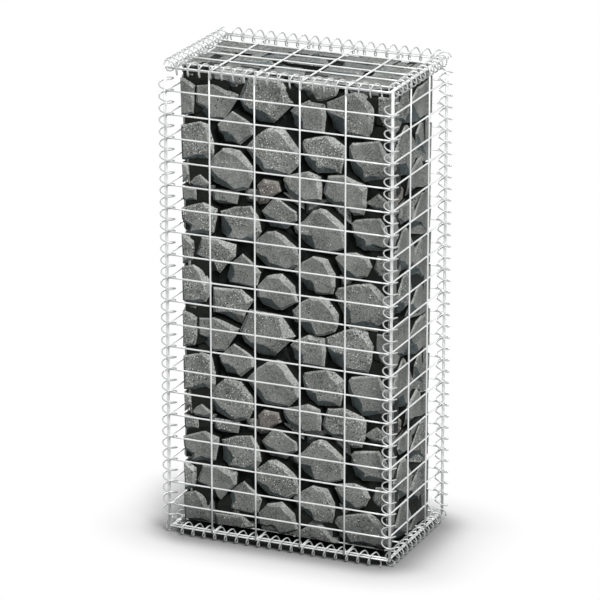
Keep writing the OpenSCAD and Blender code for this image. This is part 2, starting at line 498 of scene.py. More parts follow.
FRONT = (
    (0.2, 0, ((-21.9, 97.9, .3), (-19.9, 97.8, 1.0), (-18.1, 97.0, 1.4), (-18.3, 93.2, 1.0),
              (-18.9, 90.6, .4), (-21.9, 90.0, .3))),
    (0.0, 0, ((-17.9, 96.8, .3), (-14.4, 97.4, .3), (-8.9, 95.5, 1.5), (-9.7, 93.9, 1.0), (-11.9, 90.4, .5),
              (-14.8, 89.9, .4), (-18.7, 90.2, 3.0), (-18.2, 93.3, .4))),
    (0.0, 0, ((-6.4, 100.2, .5), (0.6, 99.9, .8), (3.4, 95.3, 2.4), (-0.6, 91.2, 1.6), (-1.6, 90.2, 2.2),
              (-5.2, 90.2, 2.4), (-8.0, 92.4, 1.2), (-8.7, 95.2, .5))),
    (0.3, 0, ((2.5, 93.6, .5), (3.8, 94.9, .4), (6.6, 96.3, .8), (10.1, 96.0, 1.0), (10.4, 93.4, .8),
              (10.1, 89.8, .4), (5.2, 89.6, .5), (2.6, 90.0, 2.4))),
    (0.0, 0, ((10.6, 96.4, .3), (14.8, 98.5, .3), (16.8, 99.2, .5), (18.8, 98.8, 1.6), (20.5, 97.6, 2.0),
              (20.8, 95.4, 1.0), (20.5, 91.5, .8), (19.8, 90.0, .5), (14.5, 90.0, .5), (10.9, 90.2, 3.0),
              (10.7, 94.5, .3))),
    (0.5, 0, ((21.7, 98.6, .3), (24.9, 98.9, .4), (24.9, 90.8, .4), (22.0, 91.0, 2.2), (21.2, 94.6, .5))),
    (0.1, 0, ((-21.9, 88.0, .4), (-17.3, 89.3, .4), (-15.4, 88.7, 1.2), (-14.4, 85.2, 1.0), (-14.4, 82.6, .9),
              (-15.4, 80.4, 1.9), (-18.5, 79.9, 1.5), (-21.9, 80.6, .5))),
    (0.0, 0, ((-10.0, 92.3, .3), (-5.6, 89.9, .5), (-5.5, 87.8, .5), (-8.4, 85.3, .4), (-12.5, 85.2, 2.6),
              (-13.1, 87.7, .4), (-13.4, 89.1, .3), (-11.8, 90.5, .3))),
    (0.0, 0, ((-4.6, 87.8, .3), (-2.6, 89.3, .5), (-0.2, 90.0, 1.0), (1.0, 89.7, 1.4), (4.7, 85.2, 1.2),
              (4.6, 82.6, .6), (2.4, 80.2, .5), (-3.4, 79.9, .8), (-5.6, 81.6, 1.2), (-7.3, 84.8, .5))),
    (0.0, 0, ((5.4, 87.2, .3), (5.8, 88.1, .4), (11.0, 89.5, .4), (12.3, 89.0, 1.4), (14.6, 87.4, 1.6),
              (14.2, 83.8, .8), (13.5, 81.6, 1.5), (8.4, 81.1, .9), (6.0, 81.8, 1.8), (5.4, 84.2, 1.0))),
    (0.1, 0, ((15.4, 87.6, .5), (16.1, 88.5, .4), (22.2, 89.7, .4), (23.6, 87.2, 1.0), (24.9, 86.4, .9),
              (24.9, 83.0, .6), (23.2, 80.9, 1.6), (18.4, 80.4, .8), (15.4, 81.4, 2.0), (15.1, 85.0, 1.0))),
    (0.0, 0, ((-14.3, 82.3, .5), (-12.4, 84.1, .7), (-10.8, 84.2, 1.0), (-8.7, 83.9, 1.4), (-5.8, 80.9, 1.0),
              (-5.6, 78.4, .6), (-6.8, 76.0, .8), (-9.5, 75.2, .6), (-14.9, 76.2, 1.4), (-16.3, 79.4, 1.0))),
    (0.6, 0, ((-21.9, 80.0, .3), (-20.2, 79.7, .8), (-19.7, 77.2, .7), (-21.9, 75.5, .4))),
    (0.5, 0, ((-20.3, 75.9, .5), (-18.8, 77.2, .3), (-17.5, 78.0, .4), (-15.2, 76.2, .6), (-16.4, 75.0, .7),
              (-19.4, 74.9, .6))),
    (0.5, 0, ((-21.9, 75.2, .3), (-19.4, 74.8, .4), (-18.4, 74.6, .4), (-18.4, 72.4, .5), (-21.0, 71.4, .6),
              (-21.9, 72.0, .4))),
    (2.2, 0, ((-17.8, 75.2, .5), (-15.0, 75.4, .6), (-15.2, 72.4, 1.0), (-17.2, 72.0, 1.2))),
    (0.8, 0, ((-15.0, 75.0, .4), (-8.9, 75.0, .5), (-9.5, 72.4, .6), (-13.8, 72.0, .7), (-15.0, 72.7, .5))),
    (0.6, 1, ((-5.0, 77.0, .5), (-3.6, 78.5, .6), (-0.2, 78.4, .7), (0.5, 76.4, .6), (-1.2, 75.2, .6),
              (-3.0, 73.2, .8), (-4.8, 72.8, .7))),
    (2.4, 0, ((-8.6, 75.4, .5), (-5.1, 75.6, .5), (-5.0, 72.6, 1.0), (-8.4, 72.5, 1.0))),
    (0.1, 0, ((1.0, 79.0, .5), (1.5, 79.8, .4), (6.6, 81.4, .6), (9.2, 80.5, 1.0), (9.5, 78.3, 1.0),
              (9.4, 75.8, .6), (6.0, 74.9, .5), (2.4, 75.6, 1.0), (1.1, 77.2, .9))),
    (0.0, 0, ((9.8, 77.4, .4), (11.0, 81.1, .4), (14.6, 81.7, .5), (18.8, 80.1, 1.3), (19.4, 79.3, 1.2),
              (19.3, 75.6, .7), (18.6, 73.6, .6), (16.4, 73.2, .7), (14.9, 74.6, .8), (10.2, 75.0, 1.3))),
    (0.5, 0, ((18.9, 76.2, .4), (21.8, 78.5, .4), (23.9, 77.2, .5), (24.6, 75.4, .5), (21.0, 74.8, .6))),
    (2.2, 0, ((20.0, 75.2, .5), (24.6, 75.4, .6), (24.4, 73.4, .8), (20.2, 73.4, .9))),
    (2.2, 0, ((5.1, 75.8, .5), (10.6, 75.4, .6), (6.0, 71.2, 1.2), (5.0, 71.6, .8))),
    (2.2, 0, ((10.6, 75.2, .5), (14.8, 75.4, .6), (15.2, 70.4, 1.0), (12.0, 72.2, 1.2))),
    (2.0, 0, ((0.3, 75.8, .5), (4.7, 75.6, .5), (4.8, 72.6, .9), (2.4, 73.8, 1.0))),
    (0.0, 0, ((-21.9, 70.3, .3), (-16.7, 72.2, .4), (-13.8, 70.9, 1.6), (-13.7, 69.6, 1.2),
              (-14.5, 65.8, 1.0), (-15.6, 64.9, 1.6), (-19.8, 65.0, .5), (-21.9, 65.2, 1.9),
              (-21.9, 68.0, .5))),
    (0.0, 0, ((-12.8, 70.8, .3), (-9.6, 72.1, .3), (-6.0, 72.7, .4), (-4.5, 70.6, .8), (-3.9, 67.2, .9),
              (-5.4, 65.0, 1.4), (-8.0, 64.8, .5), (-11.4, 65.1, .4), (-13.9, 65.3, 2.9))),
    (0.2, 0, ((-3.9, 71.7, .4), (-1.0, 75.0, .3), (0.2, 74.9, .3), (4.1, 72.6, .4), (4.2, 70.8, .5),
              (1.4, 68.4, 1.1), (-2.6, 68.2, 2.2), (-3.4, 69.7, 1.2))),
    (0.0, 0, ((3.2, 69.2, .5), (5.6, 70.9, .3), (7.7, 73.3, .4), (9.2, 74.0, .8), (10.6, 73.8, 1.0),
              (14.8, 70.5, 1.1), (14.9, 66.2, .5), (11.6, 64.9, .4), (8.2, 64.9, .4), (4.8, 65.4, 2.4),
              (3.4, 67.9, .8))),
    (0.1, 0, ((16.2, 71.7, .3), (16.9, 72.5, .4), (22.4, 73.5, .5), (23.8, 71.6, 1.0), (24.6, 69.6, 1.0),
              (24.2, 67.2, 1.2), (23.4, 66.3, 2.0), (18.4, 66.0, .9), (16.3, 66.3, 2.4), (16.1, 69.6, .7))),
    (0.1, 0, ((-21.9, 64.7, .3), (-21.0, 64.6, .8), (-18.8, 63.8, 1.4), (-18.8, 60.6, 1.0), (-19.2, 58.9, .9),
              (-21.9, 58.2, .5))),
    (0.0, 0, ((-17.2, 64.6, .3), (-13.4, 64.7, .4), (-9.6, 63.8, 1.8), (-9.5, 61.4, .6), (-11.6, 59.4, .5),
              (-13.2, 57.3, .5), (-14.8, 57.2, 1.6), (-18.0, 58.8, 2.3), (-18.6, 60.8, .4))),
    (0.2, 0, ((-8.0, 62.2, .4), (-5.2, 60.2, .4), (-4.0, 58.6, 1.0), (-4.7, 55.8, .5), (-5.6, 55.3, .4),
              (-11.2, 55.5, .4), (-12.4, 56.2, 1.5), (-11.1, 59.6, .9))),
    (0.0, 0, ((-5.0, 65.4, .3), (-2.4, 67.7, .4), (-0.6, 68.0, .9), (1.2, 67.2, 1.0), (3.9, 65.1, 1.0),
              (4.7, 63.0, .6), (4.4, 61.3, .5), (2.2, 59.9, .5), (-2.4, 59.9, .8), (-4.6, 60.8, 1.4),
              (-5.6, 63.0, .5))),
    (0.1, 0, ((3.2, 60.2, .5), (5.4, 62.2, .3), (7.7, 63.7, .4), (10.8, 63.3, 1.2), (12.5, 60.2, 1.2),
              (12.5, 57.6, .6), (12.0, 56.0, .5), (8.2, 55.5, .5), (5.4, 55.6, 2.2), (4.0, 57.8, 1.2))),
    (0.2, 0, ((12.5, 63.9, .4), (13.4, 64.9, .4), (17.2, 65.6, .4), (19.6, 64.8, .9), (20.5, 62.8, .7),
              (19.4, 60.7, .6), (17.6, 59.9, .5), (14.8, 59.6, 1.2), (13.5, 60.0, 1.4))),
    (0.4, 0, ((21.7, 65.4, .3), (24.9, 65.6, .4), (24.9, 59.9, .6), (21.2, 59.8, 2.0), (20.9, 62.6, .4))),
    (2.2, 0, ((12.7, 59.8, .4), (15.8, 59.2, .6), (14.6, 57.6, .8), (12.9, 57.2, .7))),
    (0.0, 0, ((-21.9, 57.6, .3), (-19.0, 58.5, .4), (-17.0, 57.4, 1.3), (-15.1, 54.8, 1.9),
              (-15.4, 52.4, 1.0), (-16.4, 50.6, .8), (-19.0, 50.1, .5), (-21.9, 50.3, .4))),
    (1.2, 0, ((-21.9, 50.0, .3), (-17.2, 50.2, .4), (-16.9, 49.0, .5), (-17.8, 47.9, .6), (-21.9, 48.2, .4))),
    (0.1, 0, ((-14.6, 54.2, .4), (-8.2, 54.5, .5), (-5.8, 52.3, 1.6), (-7.2, 50.0, .8), (-7.6, 48.6, .6),
              (-8.9, 46.3, 2.2), (-12.0, 47.7, 1.6), (-14.9, 48.7, .6))),
    (0.0, 0, ((-4.7, 55.6, .4), (-2.6, 58.1, .4), (0.6, 58.9, 1.1), (3.5, 56.6, 1.2), (3.9, 55.2, .7),
              (4.5, 53.5, .5), (0.8, 51.2, .5), (-1.0, 50.8, 1.2), (-4.4, 51.2, 2.2), (-4.9, 53.4, .5))),
    (0.0, 0, ((3.1, 51.4, .4), (5.2, 53.6, .3), (7.2, 54.9, .5), (9.4, 55.2, .9), (10.8, 54.8, 1.2),
              (13.2, 51.9, 1.2), (13.2, 49.4, .5), (12.6, 48.1, .5), (10.2, 47.0, .4), (8.6, 46.6, .4),
              (5.4, 46.4, 2.6), (3.4, 49.0, .8))),
    (0.0, 0, ((12.5, 56.3, .3), (13.2, 57.6, .3), (15.4, 58.4, .3), (20.4, 59.5, .6), (24.0, 57.5, 2.2),
              (24.9, 56.0, 1.8), (24.4, 53.0, 1.0), (22.4, 49.9, 1.8), (16.0, 49.6, .7), (14.8, 52.2, .9),
              (13.6, 54.6, .6))),
    (2.2, 0, ((12.0, 54.9, .4), (13.9, 54.6, .5), (15.2, 51.0, .7), (15.4, 48.9, .7), (13.7, 49.0, .7),
              (13.3, 52.0, .6))),
    (1.0, 0, ((14.9, 49.4, .3), (20.2, 49.6, .3), (24.9, 49.8, .3), (24.9, 49.0, .3), (15.4, 48.9, .3))),
)

RIGHT = (
    (0.0, 0, ((-15.3, 99.5, .4), (-4.9, 99.5, .5), (-5.2, 93.4, .5), (-6.6, 91.0, 1.6), (-10.5, 91.3, 2.2),
              (-15.3, 93.0, 2.2))),
    (0.0, 0, ((-3.8, 95.3, .3), (-0.5, 97.2, .4), (4.0, 97.6, .6), (4.6, 90.6, .5), (0.6, 90.2, .5),
              (-4.2, 90.6, 3.0))),
    (0.4, 0, ((5.4, 98.6, .4), (8.4, 98.6, .3), (8.4, 91.0, 1.2), (5.8, 91.0, 2.4))),
    (0.0, 0, ((-13.4, 85.8, .6), (-10.2, 89.2, .4), (-7.2, 90.9, .4), (-4.4, 90.3, 1.2), (-1.2, 86.8, 1.2),
              (-0.9, 83.2, .6), (-4.6, 80.4, .5), (-7.0, 80.4, 2.2), (-12.2, 82.6, 2.2))),
    (0.2, 0, ((-0.4, 87.6, .4), (1.6, 89.4, .4), (8.4, 90.0, .6), (8.4, 83.8, .8), (4.2, 81.4, .8),
              (2.0, 82.4, 1.4))),
    (0.2, 0, ((-15.3, 92.4, .3), (-12.6, 91.6, .5), (-11.2, 89.4, .7), (-14.0, 86.4, .5), (-15.3, 86.0, .4))),
    (0.2, 0, ((-15.3, 85.2, .3), (-13.8, 84.4, .8), (-11.2, 81.2, 1.0), (-11.4, 79.6, .5),
              (-15.3, 79.6, .4))),
    (0.2, 0, ((-4.2, 80.0, .4), (0.8, 82.1, .5), (3.2, 81.0, 1.0), (3.9, 76.0, .8), (-3.4, 75.4, 1.4),
              (-4.4, 77.4, .6))),
    (0.5, 1, ((-15.3, 78.8, .5), (-9.2, 79.4, .7), (-6.2, 77.8, .8), (-6.8, 75.8, .6), (-10.4, 74.6, .8),
              (-15.3, 75.6, .6))),
    (1.2, 1, ((5.0, 82.4, .5), (8.4, 82.6, .5), (8.4, 75.6, .6), (5.0, 76.0, .8))),
    (0.2, 0, ((-9.4, 72.4, .4), (-8.0, 74.4, .5), (-3.0, 74.6, .7), (-1.4, 73.4, .8), (-1.8, 71.4, .5),
              (-3.8, 70.4, .4), (-7.6, 70.6, .6))),
    (0.1, 0, ((-15.3, 73.4, .3), (-12.4, 73.6, .5), (-10.2, 71.2, .9), (-9.8, 68.8, .7), (-12.8, 66.9, .5),
              (-15.3, 67.2, .4))),
    (0.0, 0, ((-2.4, 69.8, .5), (-0.2, 72.2, .3), (2.0, 74.3, .3), (5.0, 74.3, .6), (8.4, 72.2, .8),
              (8.4, 66.2, .5), (5.0, 65.4, .5), (0.6, 65.4, 2.6))),
    (0.1, 0, ((-11.8, 65.6, .5), (-8.2, 69.0, .3), (-5.2, 69.0, .6), (-1.2, 65.2, 1.2), (-1.2, 62.2, .6),
              (-3.6, 60.6, .4), (-6.6, 60.2, 1.2), (-11.6, 62.6, 2.2))),
    (0.0, 0, ((-2.6, 61.0, .5), (2.2, 64.4, .4), (5.4, 64.5, .9), (6.8, 61.2, .8), (6.0, 56.6, .5),
              (2.6, 56.0, .5), (-1.2, 55.8, 2.8))),
    (0.3, 0, ((-15.3, 64.0, .3), (-13.4, 63.2, .6), (-10.0, 59.8, 1.0), (-11.0, 56.4, .6),
              (-15.3, 55.8, .5))),
    (0.0, 0, ((-10.6, 55.6, .5), (-8.2, 59.2, .3), (-4.6, 59.7, .6), (-1.4, 55.4, 1.3), (-4.2, 52.4, .5),
              (-6.6, 51.4, 1.0), (-10.4, 52.4, 2.3))),
    (0.1, 0, ((-2.8, 52.2, .4), (0.8, 54.8, .4), (5.4, 55.0, .8), (7.8, 52.6, 1.0), (7.2, 49.4, .6),
              (1.4, 48.8, .5), (-2.4, 49.2, 2.0))),
    (0.3, 0, ((-15.3, 55.0, .3), (-12.6, 54.6, .5), (-11.4, 52.6, .7), (-12.6, 50.8, .5), (-15.3, 50.4, .4))),
    (1.4, 0, ((6.6, 64.8, .4), (8.4, 64.6, .4), (8.4, 55.6, .6), (7.2, 56.4, .6))),
)

# The last eight are no readings, but guessed sunken stones that close the lid's gaps.
LID = (
    (0.2, 0, ((-22.2, 9.4, .4), (-19.8, 9.4, .8), (-19.2, 5.6, .6), (-22.2, 5.2, .5))),
    (0.3, 0, ((-19.2, 9.4, .4), (-15.4, 9.4, .5), (-15.2, 5.6, .6), (-18.4, 5.4, .7))),
    (0.1, 0, ((-14.9, 9.4, .4), (-9.6, 9.4, .6), (-8.8, 7.2, .5), (-10.4, 5.4, .4), (-15.0, 5.4, .5))),
    (0.2, 0, ((-10.0, 5.2, .5), (-8.4, 8.0, .4), (-5.4, 6.4, .7), (-5.2, 5.0, .5))),
    (0.0, 0, ((-4.8, 9.4, .4), (4.2, 9.4, .5), (4.4, 6.0, .9), (1.0, 5.4, .6), (-3.6, 6.4, 1.8))),
    (0.2, 0, ((5.2, 9.2, .4), (11.4, 9.2, .9), (12.8, 5.4, .6), (5.2, 5.4, .6))),
    (0.2, 0, ((15.0, 9.2, .4), (20.8, 9.2, .9), (20.0, 5.2, .6), (15.2, 5.4, .5))),
    (0.1, 0, ((-22.4, 4.6, .4), (-17.6, 4.6, 1.4), (-16.0, 2.0, .7), (-16.6, -0.2, .5), (-22.4, -0.2, .5))),
    (0.3, 0, ((-11.6, 4.2, .5), (-5.4, 4.6, .6), (-5.2, 2.0, .5), (-11.2, 1.6, .6))),
    (0.0, 0, ((-4.2, 4.4, .4), (3.2, 4.6, .9), (4.2, 0.2, .7), (-4.4, 0.2, .6))),
    (0.2, 0, ((6.6, 3.8, .5), (11.8, 4.4, .5), (14.8, 3.4, .6), (14.6, 0.2, .5), (7.4, 0.4, .8))),
    (0.0, 0, ((15.6, 4.4, .4), (22.6, 4.4, .5), (22.6, 0.2, .6), (15.2, 0.2, .5))),
    (0.2, 0, ((-22.4, -0.6, .4), (-15.6, -0.8, .5), (-15.8, -4.6, .6), (-22.4, -4.6, .7))),
    (0.0, 0, ((-14.8, -0.4, .4), (-7.0, -0.6, .9), (-6.0, -2.6, 1.2), (-8.4, -4.6, .6), (-14.8, -4.6, .5))),
    (0.4, 0, ((-4.4, -2.6, .5), (1.0, -3.0, .7), (1.8, -4.8, .6), (-4.6, -4.8, .5))),
    (0.0, 0, ((5.4, -0.6, .4), (13.2, -0.6, .6), (13.4, -4.6, .7), (5.2, -4.6, .5))),
    (0.1, 0, ((15.2, -0.6, .4), (22.6, -0.6, .5), (22.6, -4.6, .7), (15.4, -4.8, .6))),
    (0.2, 0, ((-22.4, -5.4, .4), (-16.0, -5.2, .9), (-15.6, -9.4, .6), (-22.4, -9.6, .6))),
    (0.1, 0, ((-14.8, -5.6, .4), (-11.6, -5.6, .6), (-8.8, -8.4, 1.0), (-10.6, -9.8, .5), (-15.0, -9.8, .5))),
    (0.3, 0, ((-8.4, -5.6, .4), (-5.0, -5.4, .5), (-5.2, -10.0, .6), (-9.0, -10.2, .5))),
    (0.0, 0, ((-4.4, -5.4, .4), (2.0, -5.4, .6), (3.4, -8.4, .9), (1.6, -10.2, .5), (-4.6, -10.2, .5))),
    (0.3, 0, ((5.0, -5.8, .4), (10.2, -6.2, .6), (10.0, -10.2, .5), (4.8, -10.2, .5))),
    (0.2, 0, ((11.0, -6.0, .5), (15.2, -5.4, .5), (20.8, -5.8, .6), (20.4, -10.2, .5), (11.6, -10.2, .5))),
    (1.2, 0, ((-16.6, 3.0, .4), (-15.2, 4.8, .5), (-12.4, 4.6, .6), (-11.4, 1.4, .5), (-13.2, 0.0, .5),
              (-16.0, 0.4, .4))),
    (1.3, 0, ((-4.6, -0.8, .4), (-1.0, -0.2, .5), (4.6, -0.6, .5), (5.0, -2.0, .4), (1.2, -3.2, .5),
              (-4.4, -2.6, .4))),
    (1.2, 0, ((3.8, 3.4, .4), (5.2, 4.8, .4), (6.8, 4.4, .5), (7.4, 0.8, .4), (5.6, -0.2, .5),
              (4.2, 0.6, .4))),
    (1.4, 0, ((1.6, -3.4, .4), (4.0, -2.4, .4), (5.4, -3.0, .4), (5.2, -5.6, .5), (2.2, -5.4, .4))),
    (1.0, 0, ((12.4, 8.2, .4), (13.6, 9.4, .4), (15.2, 8.8, .4), (15.0, 5.4, .5), (13.2, 5.0, .4))),
    (0.9, 0, ((20.6, 8.0, .4), (21.4, 9.4, .4), (22.6, 9.2, .4), (22.6, 5.4, .5), (20.4, 5.6, .4))),
    (1.0, 0, ((20.8, -6.4, .4), (22.6, -5.6, .4), (22.6, -10.0, .5), (20.6, -9.8, .4))),
    (1.3, 0, ((-11.4, 1.4, .4), (-5.2, 1.8, .5), (-4.6, -0.2, .4), (-7.0, -0.8, .4), (-11.0, -0.2, .4))),
)


def onto(points, plane, mesh_at, fill_at):
    """Corners read against one panel of the mesh, carried along the camera's rays to the fill's face
    behind it: a point moves from the camera by the ratio of the two distances. The plane names the two
    axes of the reading. Returns the corners in metres."""
    points = np.array(points, float)
    through = 3 - sum(plane)
    ratio = (fill_at - CAMERA[through]) / (mesh_at - CAMERA[through])
    eye = np.array([CAMERA[plane[0]], CAMERA[plane[1]]])
    lift = np.array([0.0, BASE if plane[1] == 2 else 0.0])
    read = points[:, :2] / 100 + lift
    return np.column_stack([eye + (read - eye) * ratio, points[:, 2] / 100])


# An outline's edge longer than this gets a corner of its own, and corners closer than this become one.
LONG_EDGE = 0.012
SAME_CORNER = 0.0005


def chipped(corners, random):
    """A broken outline: one more corner near the middle of every long edge, a little off the straight
    line, with a bevel of its own."""
    edge = np.roll(corners, -1, 0) - corners
    length = np.linalg.norm(edge[:, :2], axis=1)[:, None]
    share = random.uniform(0.32, 0.68, (len(corners), 1))
    middle = corners + share * edge
    off = np.clip(random.normal(0, 0.02, (len(corners), 1)), -0.03, 0.03) * np.minimum(length, 0.045)
    middle[:, :2] += off * np.column_stack([edge[:, 1], -edge[:, 0]]) / length
    middle[:, 2] *= random.uniform(0.88, 1.12, len(corners))
    keep = np.column_stack([np.ones(len(corners), bool), length[:, 0] > LONG_EDGE]).ravel()
    return np.stack([corners, middle], 1).reshape(-1, 3)[keep]


def fitted(corners, side):
    """Corners held inside a side's own outline, each only once and counter-clockwise as it is seen.
    Returns them apart from their bevels."""
    across = np.clip(corners[:, 0], -side.half, side.half)
    flat = np.column_stack([across, np.clip(corners[:, 1], side.low, side.high)])
    apart = np.linalg.norm(flat - np.roll(flat, 1, 0), axis=1) > SAME_CORNER
    flat, bevel = flat[apart], corners[apart, 2:]
    x, y = flat[:, 0], flat[:, 1]
    if np.sum(x * np.roll(y, -1) - y * np.roll(x, -1)) < 0:
        flat, bevel = flat[::-1], bevel[::-1]
    return flat, bevel


# Width of the steep rim along a stone's outline, and the depth of bevel and rim for their width.
RIM = 0.0024
BEVEL_SLOPE, RIM_SLOPE = 0.72, 1.2
# A wall this near the edge of its side of the fill, and facing it, has no stone before it.
EDGE = 0.016
# Across and up, the way of the painted light: facets turned towards it get painted highlight, those turned
# away painted shade.
LIGHT_FROM = np.array([0.62, 0.78])


class Heap:
    """Stones gathered lift by lift, with the tone, warmth and flecks of every facet."""

    def __init__(self):
        self.parts = {name: [] for name in LIFTS}
        self.facets = {key: {name: [] for name in LIFTS} for key in ("tone", "warm", "fleck")}
        self.random = np.random.default_rng(11)

    def rings(self, flat, bevel, set_back, depth):
        """One stone as five rings with the outline's corners: the front facet, whose corners are drawn in
        towards the middle by their bevels and which leans a little; a rim just inside the outline; the
        outline, deeper where its bevel is wider; a waist; and a smaller back. Columns are across, up and
        deep."""
        middle = flat.mean(0)
        inward = middle - flat
        far = np.linalg.norm(inward, axis=1, keepdims=True)
        inward = inward / far
        bevel = np.minimum(bevel, 0.7 * far)
        rim = np.minimum(RIM, 0.6 * bevel)
        tilt = self.random.normal(0, 0.022, 2)
        lean = ((flat - middle) @ tilt)[:, None]
        lean = lean - lean.min() + set_back
        waist = 1 - 0.10 * self.random.random(len(flat))[:, None]
        return np.concatenate([
            np.hstack([flat + inward * bevel, lean]),
            np.hstack([flat + inward * rim, lean + BEVEL_SLOPE * (bevel - rim)]),
            np.hstack([flat, lean + BEVEL_SLOPE * (bevel - rim) + RIM_SLOPE * rim]),
            np.hstack([middle - inward * far * waist, lean + 0.45 * depth + 0.3 * bevel]),
            np.hstack([middle - inward * far * 0.55, np.full_like(lean, set_back + depth)]),
        ])

    def tones(self, flat, side):
        """Tones of a stone's faces, from the front facet to the back. A bevel facet's is its turn towards the
        upper right, painted light: painted shade, slate, below, like the face at the sides and a painted
        highlight, paler, above, and the rim's painted highlight runs the same way. The walls are painted
        shade, black, where they stand towards a neighbour, like the face along the head and the foot of the
        fill, and as the side says at its two ends."""
        edge = np.roll(flat, -1, 0) - flat
        outward = np.column_stack([edge[:, 1], -edge[:, 0]]) / np.linalg.norm(edge, axis=1, keepdims=True)
        facing = outward @ LIGHT_FROM
        above = np.where(facing > 0.35, 0.78 * facing, FACE_TONE)
        facet = np.where(facing < -0.15, PAINTED_SLATE_SHADE_TONE, above)
        centre = flat + edge / 2
        off_middle = np.abs(centre[:, 1] - (side.low + side.high) / 2)
        bare = (off_middle > (side.high - side.low) / 2 - EDGE) & (np.abs(outward[:, 1]) > 0.6)
        ended = (np.abs(centre[:, 0]) > side.half - EDGE) & (np.abs(outward[:, 0]) > 0.6)
        wall = np.where(bare, FACE_TONE, np.where(ended, side.end_tone, PAINTED_GAP_SHADE_TONE))
        own = self.random.normal(0, 0.09)
        return np.concatenate([[own], facet + own, 0.45 + 0.5 * facing + own, wall, wall, [PAINTED_GAP_SHADE_TONE]])

    def add(self, corners, side, set_back, warm, depth, dark=0.0):
        """One broken stone on a side of the fill, kept with the lift that its middle lies in. Only what
        lies outside, up to the rim, can be brown."""
        flat, bevel = fitted(corners, side)
        points = side.to_world(self.rings(flat, bevel, set_back, depth))
        n = len(flat)
        facet = np.arange(n)[None, :]
        faces = [facet, ring_quads(5, n)[:, [0, 3, 2, 1]], facet[:, ::-1] + 4 * n]
        count = 4 * n + 2
        # dark is painted shade: it draws every tone towards the black of the gaps.
        tone = (1 - dark) * self.tones(flat, side) - dark
        level = (points[:, 2].mean() - FOOT) / (FACE_TOP - FOOT) * len(LIFTS)
        lift = LIFTS[int(min(max(level, 0), len(LIFTS) - 1))]
        self.parts[lift].append((points, faces))
        self.facets["tone"][lift].append(np.clip(tone, -1, 1))
        self.facets["warm"][lift].append(np.where(np.arange(count) <= 2 * n, warm, 0.0))
        self.facets["fleck"][lift].append(np.full(count, self.random.random()))


# How each side's own across, up and deep lie in the wall.

def front_world(p):
    return np.column_stack([p[:, 0], FACE_Y + p[:, 2], p[:, 1]])


def back_world(p):
    return np.column_stack([-p[:, 0], -FACE_Y - p[:, 2], p[:, 1]])


def right_world(p):
    return np.column_stack([FACE_X - p[:, 2], p[:, 0], p[:, 1]])


def left_world(p):
    return np.column_stack([-FACE_X + p[:, 2], -p[:, 0], p[:, 1]])


def top_world(p):
    return np.column_stack([p[:, 0], p[:, 1], FACE_TOP - p[:, 2]])


def foot_world(p):
    return np.column_stack([p[:, 0], -p[:, 1], FOOT + p[:, 2]])


# A side of the fill: how it lies in the wall, how far its own outline reaches across, down and up, and the
# tone of the walls at its two ends, which show only where no other side's stones stand before them.
Side = namedtuple("Side", "to_world half low high end_tone")
FRONT_HALF = FACE_X - 0.002
END_HALF = -FACE_Y - 0.008
LID_HALF, LID_REACH = FACE_X - 0.004, -FACE_Y - 0.006
SIDE_FRONT = Side(front_world, FRONT_HALF, FOOT, FACE_TOP, FACE_TONE)
SIDE_BACK = Side(back_world, FRONT_HALF, FOOT, FACE_TOP, FACE_TONE)
SIDE_RIGHT = Side(right_world, END_HALF, FOOT, FACE_TOP, PAINTED_GAP_SHADE_TONE)
SIDE_LEFT = Side(left_world, END_HALF, FOOT, FACE_TOP, PAINTED_GAP_SHADE_TONE)
SIDE_TOP = Side(top_world, LID_HALF, -LID_REACH, LID_REACH, FACE_TONE)
SIDE_FOOT = Side(foot_world, LID_HALF, -LID_REACH, LID_REACH, FACE_TONE)

# The height after which the stones come again, and the least that a stone reaches into the fill.
REPEAT = 0.5
LEAST = 0.012

heap = Heap()


def pack_wall(readings, sides, axis, mesh_at, fill_at, depth, turned, swell=1.0):
    """The stones of two like walls, each swelled about its own middle. The bevels are as wide as they must
    be to show as read: turned says how much wider a bevel shows for facing the camera along each axis. The
    same 50 cm of stones comes twice in the height, and once more for what reaches over the top."""
    for raised in (-REPEAT, 0.0, REPEAT):
        for set_back, warm, reading in readings:
            corners = onto(reading, (axis, 2), mesh_at, fill_at)
            middle = corners[:, :2].mean(0)
            away = corners[:, :2] - middle
            away /= np.linalg.norm(away, axis=1, keepdims=True)
            corners[:, 2] *= 1.08 / (0.93 + away @ np.array(turned))
            corners[:, :2] = middle + swell * (corners[:, :2] - middle)
            corners[:, 1] += raised
            if corners[:, 1].min() > FACE_TOP - LEAST or corners[:, 1].max() < FOOT + LEAST:
                continue
            for side in sides:
                heap.add(chipped(corners, heap.random), side, set_back / 100, warm, depth)


def pack_lid(readings):
    """The stones of the top, and the same for the underside, darkened by painted shade, the more the further
    a stone is set back.
    """
    for set_back, warm, reading in readings:
        corners = onto(reading, (0, 1), TOP, FACE_TOP)
        for side in (SIDE_TOP, SIDE_FOOT):
            # Painted shade: 0.16 on every stone of the top and underside, and 0.55 more for every centimetre
            # set back.
            heap.add(chipped(corners, heap.random), side, set_back / 100, warm, 0.05, 0.16 + 0.55 * set_back)


def fill_behind(sides, columns, rows, dark, set_back):
    """Plain seven-cornered stones in staggered rows behind the sides' own, seen only through their gaps, and
    drawn nearly to black by dark: painted shade in the gaps.
    """
    for side in sides:
        wide, tall = 2 * side.half / columns, (side.high - side.low) / rows
        for row in range(rows):
            for column in range(columns):
                across = (column + 0.5 + 0.3 * (row % 2 - 0.5)) * wide - side.half
                middle = np.array([across, side.low + (row + 0.5) * tall])
                turn = np.linspace(0, 2 * np.pi, 8)[:-1] + 0.4 * row + column
                reach = (0.60 + 0.10 * heap.random.random(7))[:, None] * np.array([wide, tall])
                outline = middle + np.column_stack([np.cos(turn), np.sin(turn)]) * reach
                heap.add(np.column_stack([outline, np.full(7, 0.006)]), side, set_back, 0, 0.045, dark)


